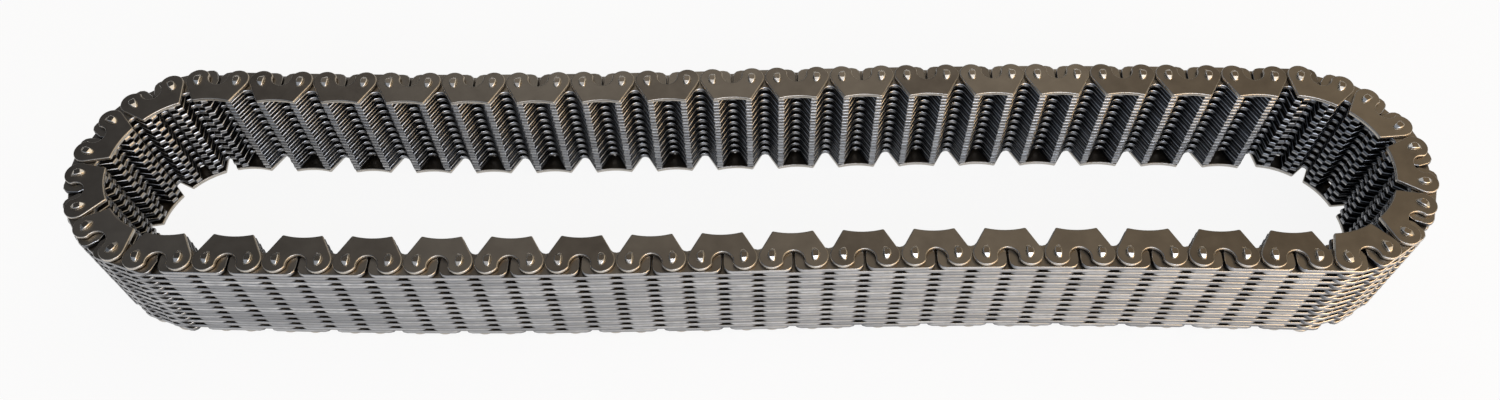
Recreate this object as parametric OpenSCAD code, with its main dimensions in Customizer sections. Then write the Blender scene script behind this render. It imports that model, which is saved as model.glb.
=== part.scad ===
// Silent chain, an inverted-tooth chain for a gearbox, closed into a loop that lies on its side.
// Guide rows (two guide plates, thinner packs of links, two long pins) take turns with plain rows
// (one link more, two short rockers). At each joint the pin and the rocker meet at the pitch line.
// A row's own frame has X along the chain and Y towards the toothed side. Rows count from zero,
// along the front, round the right bend, along the back and round the left bend.

/* [Chain] */
// Distance between neighbouring joints, three eighths of an inch
pitch = 9.525; // [9.425:0.025:9.7]
// Rows in each straight run
run_rows = 34; // [26:2:42]
// Joints that turn each bend through half a circle
bend_joints = 10; // [10:2:14]
// Angle by which the runs wander from straight, as the chain is laid down
run_wave = 1.5; // [0:0.1:2]

/* [Link plates] */
// Links side by side in a plain row, one more than in a guide row
plain_links = 12; // [4:1:14]
// Thickness of a link plate
link_thickness = 1.38; // [1.2:0.02:1.6]
// Play between plates that lie side by side
side_play = 0.12; // [0.1:0.01:0.2]
// Gap between the ends of two links in one layer
end_gap = 0.4; // [0.36:0.01:0.5]
// Depth of the back below the pitch line
back_depth = 4.7; // [4.2:0.1:5.2]
// Height of the toes above the pitch line
toe_height = 7.4; // [7:0.1:7.8]
// Width of the flat tip of a toe
toe_width = 1.9; // [1.6:0.05:1.95]
// Angle of the tooth flanks from the middle line of the plate
flank_angle = 30; // [29:0.5:30]
// Radius of the crotch between the toes
crotch_radius = 1.6; // [1.2:0.1:1.8]
// Radius of the ends, which run from the flanks to the back
end_radius = 12.5; // [11:0.5:16]

/* [Guide plates] */
// Thickness of a guide plate
guide_thickness = 1.2; // [1:0.05:1.5]
// Angle of the tooth flanks from the middle line of the plate
guide_angle = 30.5; // [29:0.5:31]
// Radius of the foot round each pin
foot_radius = 3.53; // [3.4:0.01:3.53]
// Height of the tip corners above the pitch line
tip_height = 7.5; // [7:0.1:7.8]
// Depth of the hollow in the tip
tip_hollow = 0.65; // [0.4:0.05:0.8]
// Radius of the tip corners
tip_radius = 0.5; // [0.3:0.05:0.6]
// Height of the arch between the feet above the pitch line
arch_height = 1.45; // [1:0.05:1.8]
// Radius of the arch between the feet
arch_radius = 2.9; // [2.7:0.05:2.95]

/* [Pins and rockers] */
// Radius of a pin's round back about the joint's axis
pin_radius = 2.1; // [2:0.02:2.16]
// Height of a pin across the chain
pin_height = 3.6; // [3.4:0.05:3.7]
// Radius of the face on which pin and rocker roll
rolling_radius = 4.5; // [4:0.1:5]
// Gap between the rolling faces
rolling_gap = 0.16; // [0.14:0.01:0.2]
// Play round a pin's back in the links' windows, and round the pin in a guide plate
seat_play = 0.05; // [0.04:0.01:0.07]
// Length of pin that stands out of a guide plate
pin_stand = 0.8; // [0.6:0.05:1.2]
// Depth of the slopes on a pin's ends
slope_depth = 0.5; // [0.3:0.05:0.55]
// Run of the slopes on a pin's ends
slope_run = 0.9; // [0.5:0.05:1.2]

/* [Hidden] */
$fn = 64;
margin = 1;
guide_colour = "#6a6156";
link_colour = "#9a9ca0";
pin_colour = "#b8b3a9";
rocker_colour = "#7d7c7b";

// Rows, and how each one lies in the loop
half_rows = run_rows + bend_joints - 1;
rows = 2 * half_rows;
bend_step = 180 / bend_joints;
single_rows = 4;
function run_heading(i) = run_wave * cos(360 * (i - (run_rows - 1) / 2) / run_rows);
function bend_heading(i) = run_heading(run_rows - 1) + bend_step * (i - run_rows + 1);
function half_heading(i) = i < run_rows ? run_heading(i) : bend_heading(i);
function row_heading(i) = i < half_rows ? half_heading(i) : 180 + half_heading(i - half_rows);
steps = [for (i = [0 : rows - 1]) pitch * [cos(row_heading(i)), sin(row_heading(i))]];
half_span = [for (i = [1 : half_rows]) 1] * [for (i = [0 : half_rows - 1]) steps[i]];
joints = [for (i = 0, place = -half_span / 2; i < rows; place = place + steps[i], i = i + 1) place];

// The loop's stretches: rows that move singly beside the bends, and longer stretches between them
function right_entry(k) = run_rows + k - 1;
function right_exit(k) = half_rows + k;
function left_entry(k) = half_rows + right_entry(k);
function left_exit(k) = k;
front_run = [single_rows + 1, run_rows - 1];
right_bend = [run_rows + single_rows, half_rows];
back_run = [half_rows + front_run[0], half_rows + front_run[1]];
left_bend = [half_rows + right_bend[0], half_rows + right_bend[1]];
function guide_rows(stretch) = [for (i = [stretch[0] : stretch[1]]) if (i % 2 == 0) i];
function plain_rows(stretch) = [for (i = [stretch[0] : stretch[1]]) if (i % 2 == 1) i];

// Heights of the layers
layers = 2 * plain_links - 1;
layer_step = link_thickness + side_play;
stack_base = pin_stand + guide_thickness + side_play;
upper_guide = stack_base + layers * layer_step;
pin_length = upper_guide + guide_thickness + pin_stand;
rocker_length = layers * layer_step - side_play;

// Places on the plates
joint_x = pitch / 2;
link_end = pitch - end_gap / 2;
toe_outer = joint_x + toe_width / 2;
toe_inner = joint_x - toe_width / 2;
shoulder_height = toe_height - (link_end - toe_outer) / tan(flank_angle);
crotch_height = toe_height - (toe_inner - crotch_radius / cos(flank_angle)) / tan(flank_angle);
foot_x = joint_x + (rolling_gap / 2 + pin_radius) / 2;
tip_x = foot_x + (foot_radius - tip_height * sin(guide_angle)) / cos(guide_angle);
tip_corner_x = tip_x - tip_radius * tan(45 - guide_angle / 2);
hollow_radius = (pow(tip_corner_x, 2) + pow(tip_hollow, 2)) / (2 * tip_hollow);

module in_row(i) {
  middle = (joints[i % rows] + joints[(i + 1) % rows]) / 2;
  translate([middle[0], middle[1], 0])
    rotate(row_heading(i % rows))
      children();
}

module at_both_joints() {
  translate([joint_x, 0])
    children();
  translate([-joint_x, 0])
    mirror([1, 0])
      children();
}

// A pin or rocker seen from its end: its round back bears in the windows, its flatter face rolls
module pin_section(grow = 0) {
  intersection() {
    circle(r = pin_radius + grow);
    translate([rolling_gap / 2 + rolling_radius, 0])
      circle(r = rolling_radius + grow);
    translate([0, -pin_height / 2 - grow])
      square([pin_radius + margin, pin_height + 2 * grow]);
  }
}

// Curved ends narrow towards the back and meet the outer flanks of the toes at the shoulders
module link_body() {
  reach = link_end + margin;
  reach_y = shoulder_height - margin / tan(flank_angle);
  end_x = link_end - end_radius;
  intersection() {
    polygon([
      [-reach, -back_depth], [reach, -back_depth], [reach, reach_y],
      [toe_outer, toe_height], [-toe_outer, toe_height], [-reach, reach_y]
    ]);
    translate([end_x, shoulder_height])
      circle(r = end_radius);
    translate([-end_x, shoulder_height])
      circle(r = end_radius);
  }
}

module link_crotch() {
  tangent_x = crotch_radius * cos(flank_angle);
  tangent_y = crotch_height - crotch_radius * sin(flank_angle);
  mouth = toe_inner + margin * tan(flank_angle);
  polygon([
    [-tangent_x, tangent_y], [tangent_x, tangent_y],
    [mouth, toe_height + margin], [-mouth, toe_height + margin]
  ]);
  translate([0, crotch_height])
    circle(r = crotch_radius);
}

module link_plate() {
  linear_extrude(link_thickness)
    difference() {
      link_body();
      link_crotch();
      at_both_joints()
        circle(r = pin_radius + seat_play);
    }
}

// One wide tooth, whose flanks run into the round feet
module guide_tooth() {
  flank_x = foot_x + foot_radius * cos(guide_angle);
  flank_y = foot_radius * sin(guide_angle);
  round_x = tip_corner_x;
  round_y = tip_height - tip_radius;
  corner_x = round_x + tip_radius * cos(guide_angle);
  corner_y = round_y + tip_radius * sin(guide_angle);
  polygon([
    [-foot_x, 0], [foot_x, 0], [flank_x, flank_y], [corner_x, corner_y], [round_x, tip_height],
    [-round_x, tip_height], [-corner_x, corner_y], [-flank_x, flank_y]
  ]);
  for (side = [-1, 1]) {
    translate([side * round_x, round_y])
      circle(r = tip_radius);
    translate([side * foot_x, 0])
      circle(r = foot_radius);
  }
}

module guide_plate() {
  linear_extrude(guide_thickness)
    difference() {
      guide_tooth();
      translate([0, tip_height - tip_hollow + hollow_radius])
        circle(r = hollow_radius);
      translate([0, arch_height - arch_radius])
        circle(r = arch_radius);
      at_both_joints()
        pin_section(seat_play);
    }
}

// A pin's ends slope away towards the back and the teeth
module pin() {
  side = pin_height / 2;
  intersection() {
    linear_extrude(pin_length)
      pin_section();
    rotate([90, 0, 90])
      linear_extrude(pin_radius + margin)
        polygon([
          [-side, slope_depth], [slope_run - side, 0], [side - slope_run, 0], [side, slope_depth],
          [side, pin_length - slope_depth], [side - slope_run, pin_length],
          [slope_run - side, pin_length], [-side, pin_length - slope_depth]
        ]);
  }
}

module guide_pair(i) {
  in_row(i)
    for (height = [pin_stand, upper_guide])
      translate([0, 0, height])
        guide_plate();
}

// Plain rows fill the even layers of the stack, guide rows the odd ones
module links(i) {
  in_row(i)
    for (layer = [(i + 1) % 2 : 2 : layers - 1])
      translate([0, 0, stack_base + layer * layer_step])
        link_plate();
}

module pin_pair(i) {
  in_row(i)
    at_both_joints()
      pin();
}

module rocker_pair(i) {
  in_row(i)
    translate([0, 0, stack_base])
      at_both_joints()
        linear_extrude(rocker_length)
          pin_section();
}

module all_guides(list) {
  color(guide_colour)
    for (i = list)
      guide_pair(i);
}

module all_links(list) {
  color(link_colour)
    for (i = list)
      links(i);
}

module all_pins(list) {
  color(pin_colour)
    for (i = list)
      pin_pair(i);
}

module all_rockers(list) {
  color(rocker_colour)
    for (i = list)
      rocker_pair(i);
}

module front_run_guide_plates() { all_guides(guide_rows(front_run)); }
module front_run_guide_row_links() { all_links(guide_rows(front_run)); }
module front_run_plain_row_links() { all_links(plain_rows(front_run)); }
module front_run_pins() { all_pins(guide_rows(front_run)); }
module front_run_rockers() { all_rockers(plain_rows(front_run)); }

module right_entry_1_guide_plates() { all_guides([right_entry(1)]); }
module right_entry_1_links() { all_links([right_entry(1)]); }
module right_entry_1_pins() { all_pins([right_entry(1)]); }
module right_entry_2_links() { all_links([right_entry(2)]); }
module right_entry_2_rockers() { all_rockers([right_entry(2)]); }
module right_entry_3_guide_plates() { all_guides([right_entry(3)]); }
module right_entry_3_links() { all_links([right_entry(3)]); }
module right_entry_3_pins() { all_pins([right_entry(3)]); }
module right_entry_4_links() { all_links([right_entry(4)]); }
module right_entry_4_rockers() { all_rockers([right_entry(4)]); }

module right_bend_guide_plates() { all_guides(guide_rows(right_bend)); }
module right_bend_guide_row_links() { all_links(guide_rows(right_bend)); }
module right_bend_plain_row_links() { all_links(plain_rows(right_bend)); }
module right_bend_pins() { all_pins(guide_rows(right_bend)); }
module right_bend_rockers() { all_rockers(plain_rows(right_bend)); }

module right_exit_1_guide_plates() { all_guides([right_exit(1)]); }
module right_exit_1_links() { all_links([right_exit(1)]); }
module right_exit_1_pins() { all_pins([right_exit(1)]); }
module right_exit_2_links() { all_links([right_exit(2)]); }
module right_exit_2_rockers() { all_rockers([right_exit(2)]); }
module right_exit_3_guide_plates() { all_guides([right_exit(3)]); }
module right_exit_3_links() { all_links([right_exit(3)]); }
module right_exit_3_pins() { all_pins([right_exit(3)]); }
module right_exit_4_links() { all_links([right_exit(4)]); }
module right_exit_4_rockers() { all_rockers([right_exit(4)]); }

module back_run_guide_plates() { all_guides(guide_rows(back_run)); }
module back_run_guide_row_links() { all_links(guide_rows(back_run)); }
module back_run_plain_row_links() { all_links(plain_rows(back_run)); }
module back_run_pins() { all_pins(guide_rows(back_run)); }
module back_run_rockers() { all_rockers(plain_rows(back_run)); }

module left_entry_1_links() { all_links([left_entry(1)]); }
module left_entry_1_rockers() { all_rockers([left_entry(1)]); }
module left_entry_2_guide_plates() { all_guides([left_entry(2)]); }
module left_entry_2_links() { all_links([left_entry(2)]); }
module left_entry_2_pins() { all_pins([left_entry(2)]); }
module left_entry_3_links() { all_links([left_entry(3)]); }
module left_entry_3_rockers() { all_rockers([left_entry(3)]); }
module left_entry_4_guide_plates() { all_guides([left_entry(4)]); }
module left_entry_4_links() { all_links([left_entry(4)]); }
module left_entry_4_pins() { all_pins([left_entry(4)]); }

module left_bend_guide_plates() { all_guides(guide_rows(left_bend)); }
module left_bend_guide_row_links() { all_links(guide_rows(left_bend)); }
module left_bend_plain_row_links() { all_links(plain_rows(left_bend)); }
module left_bend_pins() { all_pins(guide_rows(left_bend)); }
module left_bend_rockers() { all_rockers(plain_rows(left_bend)); }

module left_exit_1_links() { all_links([left_exit(1)]); }
module left_exit_1_rockers() { all_rockers([left_exit(1)]); }
module left_exit_2_guide_plates() { all_guides([left_exit(2)]); }
module left_exit_2_links() { all_links([left_exit(2)]); }
module left_exit_2_pins() { all_pins([left_exit(2)]); }
module left_exit_3_links() { all_links([left_exit(3)]); }
module left_exit_3_rockers() { all_rockers([left_exit(3)]); }
module left_exit_4_guide_plates() { all_guides([left_exit(4)]); }
module left_exit_4_links() { all_links([left_exit(4)]); }
module left_exit_4_pins() { all_pins([left_exit(4)]); }

front_run_guide_plates();
front_run_guide_row_links();
front_run_plain_row_links();
front_run_pins();
front_run_rockers();
right_entry_1_guide_plates();
right_entry_1_links();
right_entry_1_pins();
right_entry_2_links();
right_entry_2_rockers();
right_entry_3_guide_plates();
right_entry_3_links();
right_entry_3_pins();
right_entry_4_links();
right_entry_4_rockers();
right_bend_guide_plates();
right_bend_guide_row_links();
right_bend_plain_row_links();
right_bend_pins();
right_bend_rockers();
right_exit_1_guide_plates();
right_exit_1_links();
right_exit_1_pins();
right_exit_2_links();
right_exit_2_rockers();
right_exit_3_guide_plates();
right_exit_3_links();
right_exit_3_pins();
right_exit_4_links();
right_exit_4_rockers();
back_run_guide_plates();
back_run_guide_row_links();
back_run_plain_row_links();
back_run_pins();
back_run_rockers();
left_entry_1_links();
left_entry_1_rockers();
left_entry_2_guide_plates();
left_entry_2_links();
left_entry_2_pins();
left_entry_3_links();
left_entry_3_rockers();
left_entry_4_guide_plates();
left_entry_4_links();
left_entry_4_pins();
left_bend_guide_plates();
left_bend_guide_row_links();
left_bend_plain_row_links();
left_bend_pins();
left_bend_rockers();
left_exit_1_links();
left_exit_1_rockers();
left_exit_2_guide_plates();
left_exit_2_links();
left_exit_2_pins();
left_exit_3_links();
left_exit_3_rockers();
left_exit_4_guide_plates();
left_exit_4_links();
left_exit_4_pins();
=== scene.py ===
import math

import bmesh
import bpy
from mathutils import Matrix, Vector


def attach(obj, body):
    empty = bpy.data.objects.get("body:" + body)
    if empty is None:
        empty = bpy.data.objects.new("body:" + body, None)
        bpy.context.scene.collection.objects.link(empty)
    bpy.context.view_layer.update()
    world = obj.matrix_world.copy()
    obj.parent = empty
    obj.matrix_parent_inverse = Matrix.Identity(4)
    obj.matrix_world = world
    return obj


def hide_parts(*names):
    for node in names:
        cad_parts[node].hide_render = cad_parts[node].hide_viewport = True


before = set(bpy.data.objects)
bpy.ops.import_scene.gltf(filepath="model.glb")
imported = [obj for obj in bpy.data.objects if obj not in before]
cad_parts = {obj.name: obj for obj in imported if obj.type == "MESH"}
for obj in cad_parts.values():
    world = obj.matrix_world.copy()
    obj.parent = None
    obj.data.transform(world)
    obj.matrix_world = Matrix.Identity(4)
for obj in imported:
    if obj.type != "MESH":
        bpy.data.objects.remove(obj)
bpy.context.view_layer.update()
print("frame loaded,", len(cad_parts), "nodes")

mm = 0.001  # sizes of the chain below are in millimetres, Blender's are in metres
scene = bpy.context.scene
scene.view_settings.view_transform = "Standard"


def linearColour(hexText):
    channels = [int(hexText[i : i + 2], 16) / 255 for i in (1, 3, 5)]
    linear = [c / 12.92 if c <= 0.04045 else ((c + 0.055) / 1.055) ** 2.4 for c in channels]
    return (*linear, 1.0)


def put(tree, kind, values=None, links=None, **settings):
    node = tree.nodes.new(kind)
    for key, value in settings.items():
        setattr(node, key, value)
    for key, value in (values or {}).items():
        node.inputs[key].default_value = value
    for key, source in (links or {}).items():
        tree.links.new(source, node.inputs[key])
    return node


# how the rows lie in the loop, by the same rule as the solids
loop = {
    "pitch": 9.525,
    "runRows": 34,
    "bendJoints": 10,
    "runWave": 1.5,  # degrees that a run swings to either side
    "singleRows": 4,  # rows beside each bend that move one by one
}
halfRows = loop["runRows"] + loop["bendJoints"] - 1
rowCount = 2 * halfRows
jointX = loop["pitch"] / 2


def rowHeading(row):
    if row >= halfRows:
        return math.pi + rowHeading(row - halfRows)
    last = loop["runRows"] - 1
    swing = loop["runWave"] * math.cos(2 * math.pi * (min(row, last) - last / 2) / loop["runRows"])
    return math.radians(swing + max(0, row - last) * 180 / loop["bendJoints"])


def rowMiddles():
    headings = [rowHeading(i) for i in range(rowCount)]
    steps = [loop["pitch"] * Vector((math.cos(angle), math.sin(angle))) for angle in headings]
    place = -sum(steps[:halfRows], Vector((0, 0))) / 2
    middles = []
    for step in steps:
        middles.append(place + step / 2)
        place = place + step
    return middles


def stretchRows():
    run = loop["runRows"]
    single = loop["singleRows"]
    front = list(range(single + 1, run))
    bend = list(range(run + single, halfRows + 1))
    rows = {"front_run": front, "right_bend": bend}
    rows["back_run"] = [halfRows + i for i in front]
    rows["left_bend"] = [(halfRows + i) % rowCount for i in bend]
    for k in range(1, single + 1):
        rows[f"right_entry_{k}"] = [run + k - 1]
        rows[f"right_exit_{k}"] = [halfRows + k]
        rows[f"left_entry_{k}"] = [halfRows + run + k - 1]
        rows[f"left_exit_{k}"] = [k]
    return rows


def onArc(centre, radius, degrees):
    angles = [math.radians(a) for a in degrees]
    return [(centre[0] + radius * math.cos(a), centre[1] + radius * math.sin(a)) for a in angles]


def spread(first, last, count):
    return [first + (last - first) * i / (count - 1) for i in range(count)]


# moves an outline inwards, by one amount for all its points or by a list of amounts
def inset(outline, amount):
    amounts = amount if isinstance(amount, list) else [amount] * len(outline)
    moved = []
    for i, (point, shift) in enumerate(zip(outline, amounts)):
        here = Vector(point)
        a = (here - Vector(outline[i - 1])).normalized()
        b = (Vector(outline[(i + 1) % len(outline)]) - here).normalized()
        left = Vector((-a.y, a.x))
        right = Vector((-b.y, b.x))
        moved.append(tuple(here + (left + right) * shift / (1 + left.dot(right))))
    return moved


def ringOf(bm, outline, height):
    levels = height if isinstance(height, list) else [height] * len(outline)
    return [bm.verts.new((x * mm, y * mm, z * mm)) for (x, y), z in zip(outline, levels)]


def wall(bm, lower, upper):
    following = list(range(1, len(lower))) + [0]
    return [bm.faces.new((lower[i], lower[j], upper[j], upper[i])) for i, j in enumerate(following)]


def smoothWalls(bm, rings):
    for lower, upper in zip(rings, rings[1:]):
        for face in wall(bm, lower, upper):
            face.smooth = True


def sharpen(faces):
    for face in faces:
        for edge in face.edges:
            edge.smooth = False


def finishMesh(name, bm, material):
    bmesh.ops.recalc_face_normals(bm, faces=bm.faces)
    mesh = bpy.data.meshes.new(name)
    bm.to_mesh(mesh)
    bm.free()
    mesh.materials.append(material)
    made = bpy.data.objects.new(name, mesh)
    scene.collection.objects.link(made)
    return made


# toothed link plate; back, crotch, corners, relief and rims follow the picture, the rest follows the solids
link = {
    "thickness": 1.38,
    "sidePlay": 0.12,
    "endGap": 0.4,
    "backDepth": 4.15,
    "toeHeight": 7.4,
    "toeWidth": 1.9,
    "flankAngle": 30,
    "flankRelief": 0.17,
    "crotchRadius": 1.9,
    "cornerRadius": 2.3,
    "windowSides": 8,  # an even number, as the pitch line halves a window
    "wornBand": 0.25,  # how far a toe's wear and painted highlight run down its flanks
    "rim": 0.2,  # rounding that blanking and tumbling leave on an edge
    "toeRim": 0.4,
    "plainLinks": 12,  # side by side in a plain row
    "turnSpread": 0.2,  # degrees that a plate may be turned either way
    "liftSpread": 0.035,
    "seed": 7,
}
# the outline is a back corner, pitch line, shoulder, toe between its worn and lit bands, crotch, and the
# first ten points mirrored; these are the points of its arcs, and the places of the others that are asked for
linkPoints = {"corner": 4, "crotch": 5}
linkPlaces = {"pitchLine": (4, 20), "shoulders": (5, 19), "toes": (7, 8, 16, 17)}


def linkOutline():
    tilt = math.radians(link["flankAngle"])
    toeY = link["toeHeight"]
    outer = jointX + link["toeWidth"] / 2 - link["flankRelief"]
    inner = jointX - link["toeWidth"] / 2
    bandX = link["wornBand"] * math.sin(tilt)
    bandY = toeY - link["wornBand"] * math.cos(tilt)
    endX = loop["pitch"] - link["endGap"] / 2
    shoulderY = toeY - (endX - outer) / math.tan(tilt)
    radius = link["cornerRadius"]
    corner = spread(-90, 0, linkPoints["corner"])
    crotchY = toeY - (inner - link["crotchRadius"] / math.cos(tilt)) / math.tan(tilt)
    crotch = spread(-link["flankAngle"], link["flankAngle"] - 180, linkPoints["crotch"])
    right = onArc((endX - radius, radius - link["backDepth"]), radius, corner)
    right += [(endX, 0), (endX, shoulderY), (outer + bandX, bandY)]
    right += [(outer, toeY), (inner, toeY), (inner - bandX, bandY)]
    left = [(-x, y) for x, y in reversed(right)]
    return right + onArc((0, crotchY), link["crotchRadius"], crotch) + left


# how brightly each point is worn and lit, painted into the colour: backs are worn bright, toes and crotches
# get painted highlights over their wear, and flanks and back corners stay dark as painted shade over oxide
def linkWearAndPaintedLight():
    # values near 1 paint highlights on toes and crotches over their wear, values near 0 paint shade on flanks
    # and back corners
    right = [1.0, 0.6, 0.35, 0.0, 0.0, 0.0, 0.0, 0.85, 0.85, 0.0]
    crotch = [0.0, 0.5, 1.0, 0.5, 0.0]
    return right + crotch + right[::-1]


def linkPlate(material):
    bm = bmesh.new()
    # each point carries its wear together with painted highlight or painted shade
    wearAndPaintedLightLayer = bm.verts.layers.float.new("shine")
    shearLayer = bm.verts.layers.float.new("shear")
    outline = linkOutline()
    thick = link["thickness"]
    toes = linkPlaces["toes"]
    rims = [link["toeRim"] if k in toes else link["rim"] for k in range(len(outline))]
    inner = inset(outline, rims)
    rings = [ringOf(bm, inner, 0), ringOf(bm, outline, rims)]
    rings += [ringOf(bm, outline, [thick - rim for rim in rims]), ringOf(bm, inner, thick)]
    # the cut edge is torn at its lower side and sheared at its upper side; the darker lower side also paints
    # the shade between the plates
    for ring, shear in zip(rings, (0.0, 0.0, 1.0, 1.0)):
        for vert, bright in zip(ring, linkWearAndPaintedLight()):
            vert[wearAndPaintedLightLayer] = bright
            vert[shearLayer] = shear
    smoothWalls(bm, rings)
    # shoulders and toes stay crisp, round corners and crotches are smooth
    for k in linkPlaces["shoulders"] + toes:
        for lower, upper in zip(rings, rings[1:]):
            bm.edges.get((lower[k], upper[k])).smooth = False
    # windows are drawn round the circle that pins and rockers fill
    sides = link["windowSides"]
    reach = (pin["radius"] + pin["seatPlay"]) / math.cos(math.pi / sides)
    turns = spread(0, 360 - 360 / sides, sides)
    openings = [onArc((side * jointX, 0), reach, turns) for side in (-1, 1)]
    lowWindows = [ringOf(bm, opening, 0) for opening in openings]
    highWindows = [ringOf(bm, opening, thick) for opening in openings]
    for low, high in zip(lowWindows, highWindows):
        wall(bm, high, low)
    # each face is two halves that meet along the pitch line
    right, left = linkPlaces["pitchLine"]
    half = sides // 2
    caps = []
    for ring, windows in ((rings[0], lowWindows), (rings[-1], highWindows)):
        toothed = ring[right : left + 1]
        backed = ring[left:] + ring[: right + 1]
        for window in windows:
            toothed = toothed + window[half::-1]
        for window in windows[::-1]:
            backed = backed + window[:1] + window[: half - 1 : -1]
        caps += [bm.faces.new(toothed), bm.faces.new(backed)]
    sharpen(caps)
    return finishMesh("linkPlate", bm, material)


# long pin, with a round back, a rolling face and two slopes on each end; the rims follow the picture
pin = {
    "radius": 2.1,
    "height": 3.6,
    "rollingRadius": 4.5,
    "rollingGap": 0.16,
    "seatPlay": 0.05,
    "stand": 0.8,  # how far an end stands out of its guide plate
    "slopeDepth": 0.5,
    "slopeRun": 0.9,
    "rim": 0.22,
    "rimShape": ((1, 0), (0.32, 0.27), (0, 1)),  # steps inwards and upwards, as shares of the rim
    "seed": 5,
}
# places in its outline of the points round an end's flat and round the two slopes
pinCaps = ([2, 3, 4, 5, 6, 10, 11, 12], [6, 7, 8, 9, 10], [0, 1, 2, 12, 13])


def pinOutline(grow=0.0):
    radius = pin["radius"] + grow
    half = pin["height"] / 2 + grow
    rolling = pin["rollingRadius"] + grow
    top = math.degrees(math.asin(half / radius))
    shoulder = math.degrees(math.asin((half - pin["slopeRun"]) / radius))
    upper = [shoulder / 2, shoulder, (top + shoulder) / 2, top]
    back = onArc((0, 0), radius, [-a for a in reversed(upper)] + [0] + upper)
    faceX = pin["rollingGap"] / 2 + pin["rollingRadius"]
    heights = [half, half - pin["slopeRun"], 0, pin["slopeRun"] - half, -half]
    return back + [(faceX - math.sqrt(rolling**2 - y * y), y) for y in heights]


def longPin(material):
    bm = bmesh.new()
    outline = pinOutline()
    flat = pin["height"] / 2 - pin["slopeRun"]
    drop = [pin["slopeDepth"] * max(0, abs(y) - flat) / pin["slopeRun"] for x, y in outline]
    profile = [(amount * pin["rim"], z * pin["rim"]) for amount, z in pin["rimShape"]]
    rings = [ringOf(bm, inset(outline, amount), [d + z for d in drop]) for amount, z in profile]
    for amount, z in reversed(profile):
        rings.append(ringOf(bm, inset(outline, amount), [pinLength - d - z for d in drop]))
    smoothWalls(bm, rings)
    for ring in (rings[0], rings[-1]):
        sharpen([bm.faces.new([ring[i] for i in cap]) for cap in pinCaps])
    return finishMesh("longPin", bm, material)


# guide plate; feet, flanks and rims follow the picture, the rest follows the solids
guide = {
    "thickness": 1.2,
    "flankAngle": 29.2,
    "footRadius": 3.53,
    "footDrop": 0.33,  # from the pitch line back to a foot's centre
    "tipHeight": 7.5,
    "tipHollow": 0.65,
    "tipRadius": 0.5,
    "archHeight": 1.45,
    "archRadius": 2.9,
    "arcPoints": {"foot": 14, "tip": 5, "hollow": 9, "arch": 13},
    "rim": 0.3,
    "rimShape": ((1, 0), (0.35, 0.15), (0, 0.7)),  # steps inwards and upwards, as shares of the rim
    "holeRim": 0.12,
    "seed": 11,
}


def guideOutline():
    flank = guide["flankAngle"]
    tilt = math.radians(flank)
    footX = jointX + (pin["rollingGap"] / 2 + pin["radius"]) / 2
    footY = -guide["footDrop"]
    footRadius = guide["footRadius"]
    tipY = guide["tipHeight"]
    tipX = footX + (footRadius - (tipY - footY) * math.sin(tilt)) / math.cos(tilt)
    tipRadius = guide["tipRadius"]
    cornerX = tipX - tipRadius * math.tan(math.pi / 4 - tilt / 2)
    hollowRadius = (cornerX**2 + guide["tipHollow"] ** 2) / (2 * guide["tipHollow"])
    hollowY = tipY - guide["tipHollow"] + hollowRadius
    hollowAngle = math.degrees(math.asin(cornerX / hollowRadius))
    archRadius = guide["archRadius"]
    archY = guide["archHeight"] - archRadius
    # where the arch runs into a foot
    rise = footY - archY
    between = math.hypot(footX, rise)
    along = (archRadius**2 - footRadius**2 + between**2) / (2 * between)
    aside = math.sqrt(archRadius**2 - along**2)
    meet = Vector((0, archY)) + (along * Vector((footX, rise)) + aside * Vector((rise, -footX))) / between
    footStart = math.degrees(math.atan2(meet.y - footY, meet.x - footX)) % 360
    archStart = math.degrees(math.atan2(meet.y - archY, meet.x))
    count = guide["arcPoints"]
    hollowTurns = spread(-90 + hollowAngle, -90 - hollowAngle, count["hollow"])[1:-1]
    archTurns = spread(180 - archStart, archStart, count["arch"])[1:-1]
    right = onArc((footX, footY), footRadius, spread(footStart, 360 + flank, count["foot"]))
    right += onArc((cornerX, tipY - tipRadius), tipRadius, spread(flank, 90, count["tip"]))
    left = [(-x, y) for x, y in reversed(right)]
    hollow = onArc((0, hollowY), hollowRadius, hollowTurns)
    return right + hollow + left + onArc((0, archY), archRadius, archTurns)


def guidePlate(material):
    bm = bmesh.new()
    outline = guideOutline()
    thick = guide["thickness"]
    profile = [(amount * guide["rim"], z * guide["rim"]) for amount, z in guide["rimShape"]]
    profile += [(amount, thick - z) for amount, z in reversed(profile)]
    rings = [ringOf(bm, inset(outline, amount), z) for amount, z in profile]
    smoothWalls(bm, rings)
    section = pinOutline(pin["seatPlay"])[::-1]
    holeRim = guide["holeRim"]
    holeProfile = [(holeRim, 0), (0, holeRim), (0, thick - holeRim), (holeRim, thick)]
    holes = []
    for side in (1, -1):
        hole = [(side * (jointX + x), side * y) for x, y in section]
        holes.append([ringOf(bm, inset(hole, amount), z) for amount, z in holeProfile])
        smoothWalls(bm, holes[-1])
    for end in (0, -1):
        edges = []
        for ring in (rings[end], holes[0][end], holes[1][end]):
            edges += [bm.edges.get((ring[i - 1], ring[i])) for i in range(len(ring))]
        bmesh.ops.triangle_fill(bm, use_beauty=True, use_dissolve=False, edges=edges)
        for edge in edges:
            edge.smooth = False
    return finishMesh("guidePlate", bm, material)


# heights in the stack, from the lower pin ends up
layerStep = link["thickness"] + link["sidePlay"]
layers = 2 * link["plainLinks"] - 1
stackBase = pin["stand"] + guide["thickness"] + link["sidePlay"]
upperGuide = stackBase + layers * layerStep
pinLength = upperGuide + guide["thickness"] + pin["stand"]


def newMaterial(name):
    material = bpy.data.materials.new(name)
    material.use_nodes = True
    material.node_tree.nodes.clear()
    return material, material.node_tree


# how far a surface faces up, and how level it lies: 1 on the plates' faces, 0 on their cut edges
def facingUp(tree, place):
    return put(tree, "ShaderNodeSeparateXYZ", links={0: place.outputs["Normal"]}).outputs["Z"]


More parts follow.
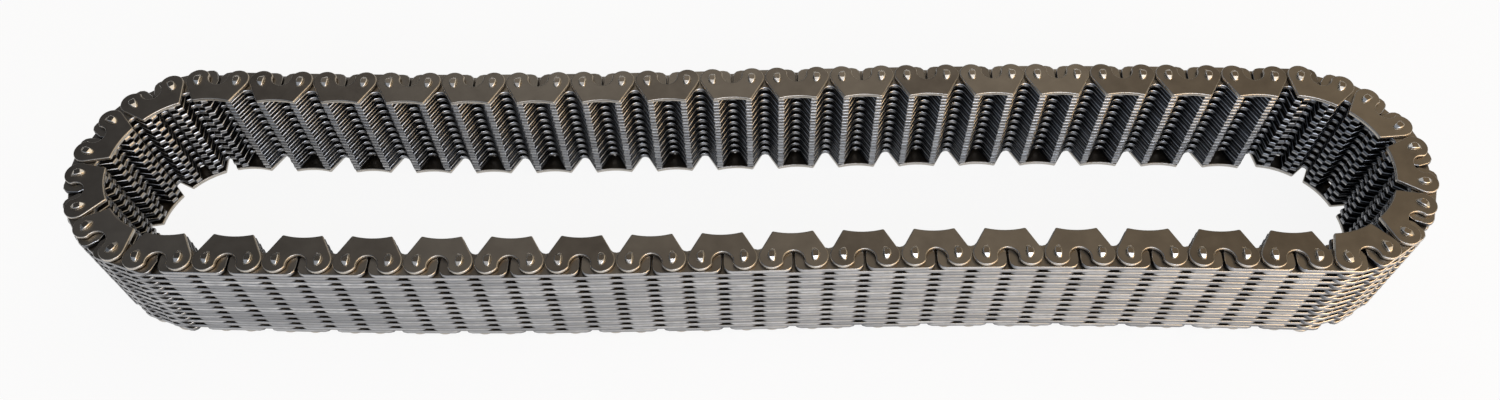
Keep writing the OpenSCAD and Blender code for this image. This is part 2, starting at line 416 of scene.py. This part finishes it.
def levelness(tree, place):
    return put(tree, "ShaderNodeMath", links={0: facingUp(tree, place)}, operation="ABSOLUTE").outputs[0]


# brown-grey temper oxide that the rolled faces of all plates keep: half of its shade is a cloud over some
# millimetres, and half is one tone for each plate
faceFinish = {"cloud": 5, "dark": "#4b443d", "light": "#827a6e"}


def temperedFace(tree, place, tone):
    cloud = put(tree, "ShaderNodeTexNoise", {"Scale": 1 / (faceFinish["cloud"] * mm), "Detail": 4.0},
                {"Vector": place.outputs["Object"]})
    shade = put(tree, "ShaderNodeMath", {1: 0.5}, {0: tone.outputs["Fac"]}, operation="MULTIPLY")
    both = put(tree, "ShaderNodeMath", {1: 0.5}, {0: cloud.outputs["Fac"], 2: shade.outputs[0]},
               operation="MULTIPLY_ADD")
    browns = {6: linearColour(faceFinish["dark"]), 7: linearColour(faceFinish["light"])}
    return put(tree, "ShaderNodeMix", browns, {0: both.outputs[0]}, data_type="RGBA").outputs[2]


# tempered spring plate, tumbled: oxide on the faces, rubbed to bright metal on rims and cut edges
guideFinish = {
    "grit": 0.35,
    "rubbed": "#d6d1c8",
    "wear": {"From Min": 0.96, "From Max": 0.7},  # by how level the surface lies
    "rough": {"To Min": 0.3, "To Max": 0.46},
    "relief": {"Strength": 0.12, "Distance": 0.03 * mm},
}


def temperedPlate():
    material, tree = newMaterial("temperedPlateSteel")
    place = put(tree, "ShaderNodeTexCoord")
    tone = put(tree, "ShaderNodeAttribute", attribute_name="tone")
    face = temperedFace(tree, place, tone)
    grit = put(tree, "ShaderNodeTexNoise", {"Scale": 1 / (guideFinish["grit"] * mm), "Detail": 2.0},
               {"Vector": place.outputs["Object"]})
    worn = put(tree, "ShaderNodeMapRange", guideFinish["wear"], {"Value": levelness(tree, place)})
    colour = put(tree, "ShaderNodeMix", {7: linearColour(guideFinish["rubbed"])},
                 {0: worn.outputs[0], 6: face}, data_type="RGBA")
    rough = put(tree, "ShaderNodeMapRange", guideFinish["rough"], {"Value": grit.outputs["Fac"]})
    bump = put(tree, "ShaderNodeBump", guideFinish["relief"], {"Height": grit.outputs["Fac"]})
    steel = put(tree, "ShaderNodeBsdfPrincipled", {"Metallic": 1.0},
                {"Base Color": colour.outputs[2], "Roughness": rough.outputs[0], "Normal": bump.outputs[0]})
    put(tree, "ShaderNodeOutputMaterial", links={"Surface": steel.outputs[0]})
    return material


# blanked plate: the cut edge has a bright sheared band and a duller torn band, which also paints the shade
# between plates; flanks keep a dark oxide deepened into painted shade, toes and crotches get painted
# highlights, upper rims are rubbed bright with a painted highlight, least on the flanks, and the rolled faces
# are as brown as the guides
linkFinish = {
    "smear": 2.5,
    "grit": 0.3,
    "dull": "#8f9195",
    "clean": "#eff0f1",
    "leastClean": 0.1,
    "torn": "#606163",
    "tornBand": {"From Min": 0.42, "From Max": 0.3, "To Max": 0.65},  # by the place across the cut edge; the dark lower band is partly painted shade between plates
    # very dark oxide, which also stands as painted shade in the grooves between teeth and in the back corners
    "darkOxide": "#191b1f",
    "lightOxide": "#34373d",
    "bright": {"From Min": 0.15, "From Max": 0.85},  # by the wear and painted light along the outline
    "rubbed": "#cfcfcd",
    "upperRim": {"From Min": 0.42, "From Max": 0.62},  # by how far the surface faces up: a painted highlight from above over the rubbing
    "rubbedShare": {"To Min": 0.72, "To Max": 0.95},
    "rolledFace": {"From Min": 0.9, "From Max": 0.98},  # by how level the surface lies
    "rough": {"To Min": 0.26, "To Max": 0.46},
    "relief": {"Strength": 0.15, "Distance": 0.03 * mm},
}


def blankedPlate():
    material, tree = newMaterial("blankedPlateSteel")
    place = put(tree, "ShaderNodeTexCoord")
    tone = put(tree, "ShaderNodeAttribute", attribute_name="tone")
    shine = put(tree, "ShaderNodeAttribute", attribute_name="shine")
    shear = put(tree, "ShaderNodeAttribute", attribute_name="shear")
    smear = put(tree, "ShaderNodeTexNoise", {"Scale": 1 / (linkFinish["smear"] * mm), "Detail": 3.0},
                {"Vector": place.outputs["Object"]})
    grit = put(tree, "ShaderNodeTexNoise", {"Scale": 1 / (linkFinish["grit"] * mm), "Detail": 2.0},
               {"Vector": place.outputs["Object"]})
    lively = put(tree, "ShaderNodeMath", {2: linkFinish["leastClean"]},
                 {0: smear.outputs["Fac"], 1: tone.outputs["Fac"]}, operation="MULTIPLY_ADD")
    metals = {6: linearColour(linkFinish["dull"]), 7: linearColour(linkFinish["clean"])}
    sheared = put(tree, "ShaderNodeMix", metals, {0: lively.outputs[0]}, data_type="RGBA")
    # the darker lower band across the cut edge is a torn zone that also paints the shade between plates
    torn = put(tree, "ShaderNodeMapRange", linkFinish["tornBand"], {"Value": shear.outputs["Fac"]})
    edge = put(tree, "ShaderNodeMix", {7: linearColour(linkFinish["torn"])},
               {0: torn.outputs[0], 6: sheared.outputs[2]}, data_type="RGBA")
    # oxide deepened to paint the shade on flanks and in back corners
    oxideAndShadeColours = {6: linearColour(linkFinish["darkOxide"]), 7: linearColour(linkFinish["lightOxide"])}
    oxideAndShade = put(tree, "ShaderNodeMix", oxideAndShadeColours, {0: tone.outputs["Fac"]}, data_type="RGBA")
    # these values choose between dark oxide with painted shade and bright metal with painted highlights
    bright = put(tree, "ShaderNodeMapRange", linkFinish["bright"], {"Value": shine.outputs["Fac"]})
    cut = put(tree, "ShaderNodeMix", links={0: bright.outputs[0], 6: oxideAndShade.outputs[2], 7: edge.outputs[2]},
              data_type="RGBA")
    # rims that face up carry a painted highlight from above on top of their rubbing; rims that face down do
    # not
    upper = put(tree, "ShaderNodeMapRange", linkFinish["upperRim"], {"Value": facingUp(tree, place)})
    share = put(tree, "ShaderNodeMapRange", linkFinish["rubbedShare"], {"Value": bright.outputs[0]})
    rubbed = put(tree, "ShaderNodeMath", links={0: upper.outputs[0], 1: share.outputs[0]},
                 operation="MULTIPLY")
    rubbedAndLitRim = put(tree, "ShaderNodeMix", {7: linearColour(linkFinish["rubbed"])},
                 {0: rubbed.outputs[0], 6: cut.outputs[2]}, data_type="RGBA")
    flat = put(tree, "ShaderNodeMapRange", linkFinish["rolledFace"], {"Value": levelness(tree, place)})
    face = temperedFace(tree, place, tone)
    colour = put(tree, "ShaderNodeMix", links={0: flat.outputs[0], 6: rubbedAndLitRim.outputs[2], 7: face},
                 data_type="RGBA")
    rough = put(tree, "ShaderNodeMapRange", linkFinish["rough"], {"Value": grit.outputs["Fac"]})
    bump = put(tree, "ShaderNodeBump", linkFinish["relief"], {"Height": grit.outputs["Fac"]})
    steel = put(tree, "ShaderNodeBsdfPrincipled", {"Metallic": 1.0},
                {"Base Color": colour.outputs[2], "Roughness": rough.outputs[0], "Normal": bump.outputs[0]})
    put(tree, "ShaderNodeOutputMaterial", links={"Surface": steel.outputs[0]})
    return material


# hardened pin steel, tumbled: satin brown on the end flats, bright on the slopes and sides
pinFinish = {
    "cloud": 1.2,
    "dark": "#c9c4ba",
    "light": "#f2eee6",
    "flatEnd": "#6d6458",
    "endPart": {"From Min": 0.93, "From Max": 0.98},  # by how level the surface lies
    "rough": {"To Min": 0.18, "To Max": 0.36},
}
# the same steel ground and not tumbled, as the rockers stay: an even grey
rockerFinish = dict(pinFinish, dark="#77777a", light="#a9a9ab", flatEnd="#6b6a69")


def hardenedSteel(name, finish):
    material, tree = newMaterial(name)
    place = put(tree, "ShaderNodeTexCoord")
    cloud = put(tree, "ShaderNodeTexNoise", {"Scale": 1 / (finish["cloud"] * mm), "Detail": 3.0},
                {"Vector": place.outputs["Object"]})
    side = put(tree, "ShaderNodeMix", {6: linearColour(finish["dark"]), 7: linearColour(finish["light"])},
               {0: cloud.outputs["Fac"]}, data_type="RGBA")
    flat = put(tree, "ShaderNodeMapRange", finish["endPart"], {"Value": levelness(tree, place)})
    colour = put(tree, "ShaderNodeMix", {7: linearColour(finish["flatEnd"])},
                 {0: flat.outputs[0], 6: side.outputs[2]}, data_type="RGBA")
    rough = put(tree, "ShaderNodeMapRange", finish["rough"], {"Value": cloud.outputs["Fac"]})
    steel = put(tree, "ShaderNodeBsdfPrincipled", {"Metallic": 1.0},
                {"Base Color": colour.outputs[2], "Roughness": rough.outputs[0]})
    put(tree, "ShaderNodeOutputMaterial", links={"Surface": steel.outputs[0]})
    return material


guideSteel = temperedPlate()
linkSteel = blankedPlate()
pinSteel = hardenedSteel("hardenedPinSteel", pinFinish)
rockerSteel = hardenedSteel("groundRockerSteel", rockerFinish)
print("finishes made")


# one tree stacks copies of a plate or pin on the points of its rows
def stackTree():
    tree = bpy.data.node_groups.new("stackOnRows", "GeometryNodeTree")
    sockets = {
        "Geometry": "NodeSocketGeometry",
        "Piece": "NodeSocketObject",
        "First height": "NodeSocketFloat",
        "Height step": "NodeSocketFloat",
        "Copies": "NodeSocketInt",
        "Turn spread": "NodeSocketFloat",
        "Lift spread": "NodeSocketFloat",
        "Seed": "NodeSocketInt",
        "Finish": "NodeSocketMaterial",
    }
    for name, kind in sockets.items():
        tree.interface.new_socket(name, in_out="INPUT", socket_type=kind)
    tree.interface.new_socket("Geometry", in_out="OUTPUT", socket_type="NodeSocketGeometry")
    given = put(tree, "NodeGroupInput").outputs
    copies = put(tree, "GeometryNodeDuplicateElements",
                 links={"Geometry": given["Geometry"], "Amount": given["Copies"]}, domain="POINT")
    low = put(tree, "ShaderNodeMath", {1: -1.0}, {0: given["Lift spread"]}, operation="MULTIPLY")
    lift = put(tree, "FunctionNodeRandomValue",
               links={2: low.outputs[0], 3: given["Lift spread"], "Seed": given["Seed"]})
    steps = {0: copies.outputs["Duplicate Index"], 1: given["Height step"], 2: given["First height"]}
    height = put(tree, "ShaderNodeMath", links=steps, operation="MULTIPLY_ADD")
    raised = put(tree, "ShaderNodeMath", links={0: height.outputs[0], 1: lift.outputs[1]}, operation="ADD")
    offset = put(tree, "ShaderNodeCombineXYZ", links={"Z": raised.outputs[0]})
    placed = put(tree, "GeometryNodeSetPosition",
                 links={"Geometry": copies.outputs["Geometry"], "Offset": offset.outputs[0]})
    heading = put(tree, "GeometryNodeInputNamedAttribute", {"Name": "heading"}, data_type="FLOAT")
    back = put(tree, "ShaderNodeMath", {1: -1.0}, {0: given["Turn spread"]}, operation="MULTIPLY")
    turn = put(tree, "FunctionNodeRandomValue",
               links={2: back.outputs[0], 3: given["Turn spread"], "Seed": given["Seed"]})
    angle = put(tree, "ShaderNodeMath", links={0: heading.outputs["Attribute"], 1: turn.outputs[1]},
                operation="ADD")
    euler = put(tree, "ShaderNodeCombineXYZ", links={"Z": angle.outputs[0]})
    rotation = put(tree, "FunctionNodeEulerToRotation", links={0: euler.outputs[0]})
    piece = put(tree, "GeometryNodeObjectInfo", {"As Instance": True}, {"Object": given["Piece"]},
                transform_space="ORIGINAL")
    stacked = put(tree, "GeometryNodeInstanceOnPoints",
                  links={"Points": placed.outputs[0], "Instance": piece.outputs["Geometry"],
                         "Rotation": rotation.outputs[0]})
    tone = put(tree, "FunctionNodeRandomValue", links={"Seed": given["Seed"]})
    toned = put(tree, "GeometryNodeStoreNamedAttribute", {"Name": "tone"},
                {"Geometry": stacked.outputs[0], "Value": tone.outputs[1]},
                data_type="FLOAT", domain="INSTANCE")
    solid = put(tree, "GeometryNodeRealizeInstances", links={"Geometry": toned.outputs[0]})
    dressed = put(tree, "GeometryNodeSetMaterial",
                  links={"Geometry": solid.outputs[0], "Material": given["Finish"]})
    put(tree, "NodeGroupOutput", links={"Geometry": dressed.outputs[0]})
    return tree


stackOnRows = stackTree()


def stackPieces(name, points, inputs):
    mesh = bpy.data.meshes.new(name)
    mesh.from_pydata([(x * mm, y * mm, 0) for x, y, angle in points], [], [])
    headings = mesh.attributes.new("heading", "FLOAT", "POINT")
    headings.data.foreach_set("value", [angle for x, y, angle in points])
    made = bpy.data.objects.new(name, mesh)
    scene.collection.objects.link(made)
    modifier = made.modifiers.new("stack", "NODES")
    modifier.node_group = stackOnRows
    for item in stackOnRows.interface.items_tree:
        if item.in_out == "INPUT" and item.name in inputs:
            modifier[item.identifier] = inputs[item.name]
    evaluated = made.evaluated_get(bpy.context.evaluated_depsgraph_get())
    plain = bpy.data.meshes.new_from_object(evaluated)
    made.modifiers.clear()
    made.data = plain
    plain.name = name
    bpy.data.meshes.remove(mesh)
    return made


def dress(made, body, node):
    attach(made, body)
    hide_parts(node)


def camelName(text):
    first, *rest = text.split("_")
    return first + "".join(word.capitalize() for word in rest)


onePlate = linkPlate(linkSteel)
oneGuide = guidePlate(guideSteel)
onePin = longPin(pinSteel)
linkInputs = {
    "Piece": onePlate,
    "Height step": 2 * layerStep * mm,
    "Turn spread": math.radians(link["turnSpread"]),
    "Lift spread": link["liftSpread"] * mm,
    "Seed": link["seed"],
    "Finish": linkSteel,
}
plainInputs = {**linkInputs, "First height": stackBase * mm, "Copies": link["plainLinks"]}
betweenInputs = {**linkInputs, "First height": (stackBase + layerStep) * mm, "Copies": link["plainLinks"] - 1}
guideInputs = {
    "Piece": oneGuide,
    "First height": pin["stand"] * mm,
    "Height step": (upperGuide - pin["stand"]) * mm,
    "Copies": 2,
    "Seed": guide["seed"],
    "Finish": guideSteel,
}
pinInputs = {"Piece": onePin, "Copies": 1, "Seed": pin["seed"], "Finish": pinSteel}

middles = rowMiddles()
for body, rows in stretchRows().items():
    guideRows = [(*middles[i], rowHeading(i)) for i in rows if i % 2 == 0]
    plainRows = [(*middles[i], rowHeading(i)) for i in rows if i % 2 == 1]
    joints = []
    for x, y, angle in guideRows:
        joints.append((x + jointX * math.cos(angle), y + jointX * math.sin(angle), angle))
        joints.append((x - jointX * math.cos(angle), y - jointX * math.sin(angle), angle + math.pi))
    several = len(rows) > 1
    kinds = []
    if guideRows:
        kinds.append(("guide_plates", guideRows, guideInputs, "guide_plate"))
        kinds.append(("pins", joints, pinInputs, "pin"))
        kinds.append(("guide_row_links" if several else "links", guideRows, betweenInputs, "link_plate"))
    if plainRows:
        kinds.append(("plain_row_links" if several else "links", plainRows, plainInputs, "link_plate"))
    for kind, points, inputs, slot in kinds:
        node = f"{body}_{kind}"
        dress(stackPieces(camelName(node), points, inputs), body, node)
for part in (onePlate, oneGuide, onePin):
    mesh = part.data
    bpy.data.objects.remove(part)
    bpy.data.meshes.remove(mesh)
print("plates and pins stacked on", rowCount, "rows")

# rockers lie inside the windows, where their solids stay as they are
for name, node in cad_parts.items():
    if name.endswith("_rockers"):
        node.data.materials.clear()
        node.data.materials.append(rockerSteel)
print("rockers finished")

# matte pale floor, in metres; it shows almost white to the camera and greyer in the metal
floor = {"side": 8.0, "colour": "#f2f2f2", "seenWhite": 0.9, "mirroredWhite": 0.41}


def paleFloor():
    material, tree = newMaterial("matteWhiteFloor")
    path = put(tree, "ShaderNodeLightPath")
    mirrored = put(tree, "ShaderNodeMath", {1: floor["mirroredWhite"]}, {0: path.outputs["Is Glossy Ray"]},
                   operation="MULTIPLY")
    lifted = put(tree, "ShaderNodeMath", {1: floor["seenWhite"]},
                 {0: path.outputs["Is Camera Ray"], 2: mirrored.outputs[0]}, operation="MULTIPLY_ADD")
    matte = put(tree, "ShaderNodeBsdfDiffuse", {"Color": linearColour(floor["colour"])})
    white = put(tree, "ShaderNodeEmission", {"Color": (1, 1, 1, 1), "Strength": 1.0})
    mixed = put(tree, "ShaderNodeMixShader",
                links={0: lifted.outputs[0], 1: matte.outputs[0], 2: white.outputs[0]})
    put(tree, "ShaderNodeOutputMaterial", links={"Surface": mixed.outputs[0]})
    half = floor["side"] / 2
    corners = [(-half, -half, 0), (half, -half, 0), (half, half, 0), (-half, half, 0)]
    mesh = bpy.data.meshes.new("floor")
    mesh.from_pydata(corners, [], [(0, 1, 2, 3)])
    mesh.materials.append(material)
    made = bpy.data.objects.new("floor", mesh)
    scene.collection.objects.link(made)


# softboxes, in metres: place, what they point at, and size
softboxes = {
    "frontSoftbox": {"place": (0.25, -0.75, 0.75), "target": (0.08, 0, 0), "width": 0.5, "depth": 0.4,
                     "radiance": 5.2, "colour": "#d6e4ff"},
    "rightSoftbox": {"place": (0.66, -0.42, 0.13), "target": (0.18, 0, 0.02), "width": 0.6, "depth": 0.24,
                     "radiance": 4.6, "colour": "#ffd094"},
    "backSoftbox": {"place": (-0.1, 1.0, 1.1), "target": (0, 0, 0), "width": 1.2, "depth": 0.35,
                    "radiance": 1.2, "colour": "#ffffff"},
}


def softbox(name, box):
    lamp = bpy.data.lights.new(name, "AREA")
    lamp.shape = "RECTANGLE"
    lamp.size = box["width"]
    lamp.size_y = box["depth"]
    lamp.energy = box["radiance"] * math.pi * box["width"] * box["depth"]
    lamp.color = linearColour(box["colour"])[:3]
    made = bpy.data.objects.new(name, lamp)
    made.location = box["place"]
    aim = Vector(box["target"]) - Vector(box["place"])
    made.rotation_euler = aim.to_track_quat("-Z", "Y").to_euler()
    scene.collection.objects.link(made)


# pale room: cooler to the left of the chain, warmer and brighter to its right, dimmer behind it and beyond
# its ends; colour and strengths go by the direction that a ray leaves in
room = {
    "left": "#848d9c",
    "right": "#ffedd2",
    "across": {"From Min": -0.35, "From Max": 0.55},
    "depth": {"From Min": 0.1, "From Max": 0.8, "To Min": 1.2, "To Max": 0.42},
    "side": {"From Min": -0.1, "From Max": 0.45, "To Min": 1.0, "To Max": 1.3},
    "ends": {"From Min": 0.5, "From Max": 0.85, "To Min": 1.0, "To Max": 0.35},
}


def paleRoom():
    world = bpy.data.worlds.new("paleRoom")
    world.use_nodes = True
    tree = world.node_tree
    tree.nodes.clear()
    place = put(tree, "ShaderNodeTexCoord")
    split = put(tree, "ShaderNodeSeparateXYZ", links={0: place.outputs["Generated"]})
    across = put(tree, "ShaderNodeMapRange", room["across"], {"Value": split.outputs["X"]})
    tint = put(tree, "ShaderNodeMix", {6: linearColour(room["left"]), 7: linearColour(room["right"])},
               {0: across.outputs[0]}, data_type="RGBA")
    depth = put(tree, "ShaderNodeMapRange", room["depth"], {"Value": split.outputs["Y"]})
    side = put(tree, "ShaderNodeMapRange", room["side"], {"Value": split.outputs["X"]})
    level = put(tree, "ShaderNodeMath", links={0: depth.outputs[0], 1: side.outputs[0]},
                operation="MULTIPLY")
    far = put(tree, "ShaderNodeMath", links={0: split.outputs["X"]}, operation="ABSOLUTE")
    ends = put(tree, "ShaderNodeMapRange", room["ends"], {"Value": far.outputs[0]})
    dimmed = put(tree, "ShaderNodeMath", links={0: level.outputs[0], 1: ends.outputs[0]},
                 operation="MULTIPLY")
    glow = put(tree, "ShaderNodeBackground", links={"Color": tint.outputs[2], "Strength": dimmed.outputs[0]})
    put(tree, "ShaderNodeOutputWorld", links={"Surface": glow.outputs[0]})
    scene.world = world


paleFloor()
paleRoom()
for name, box in softboxes.items():
    softbox(name, box)

# camera, set from the places of the pin ends in the picture; angles are in degrees
view = {
    "place": (7.57, -191.75, 318.86),
    "turn": 1.882,
    "down": 57.437,
    "roll": -1.644,
    "focalPixels": 1213.81,
    "imageWidth": 1500,
    "sensor": 36,
    "clip": (0.01, 50),  # metres
}


def addCamera():
    turn, down, roll = (math.radians(view[key]) for key in ("turn", "down", "roll"))
    level = Vector((math.cos(turn), math.sin(turn), 0))
    forward = Vector((-math.sin(turn) * math.cos(down), math.cos(turn) * math.cos(down), -math.sin(down)))
    upright = level.cross(forward)
    side = math.cos(roll) * level + math.sin(roll) * upright
    above = math.cos(roll) * upright - math.sin(roll) * level
    lens = bpy.data.cameras.new("camera")
    lens.sensor_width = view["sensor"]
    lens.sensor_fit = "HORIZONTAL"
    lens.lens = view["focalPixels"] * view["sensor"] / view["imageWidth"]
    lens.clip_start, lens.clip_end = view["clip"]
    made = bpy.data.objects.new("camera", lens)
    facing = Matrix((side, above, -forward)).transposed().to_4x4()
    made.matrix_world = Matrix.Translation(Vector(view["place"]) * mm) @ facing
    scene.collection.objects.link(made)
    scene.camera = made


addCamera()
print("camera and light set")

bpy.context.view_layer.update()
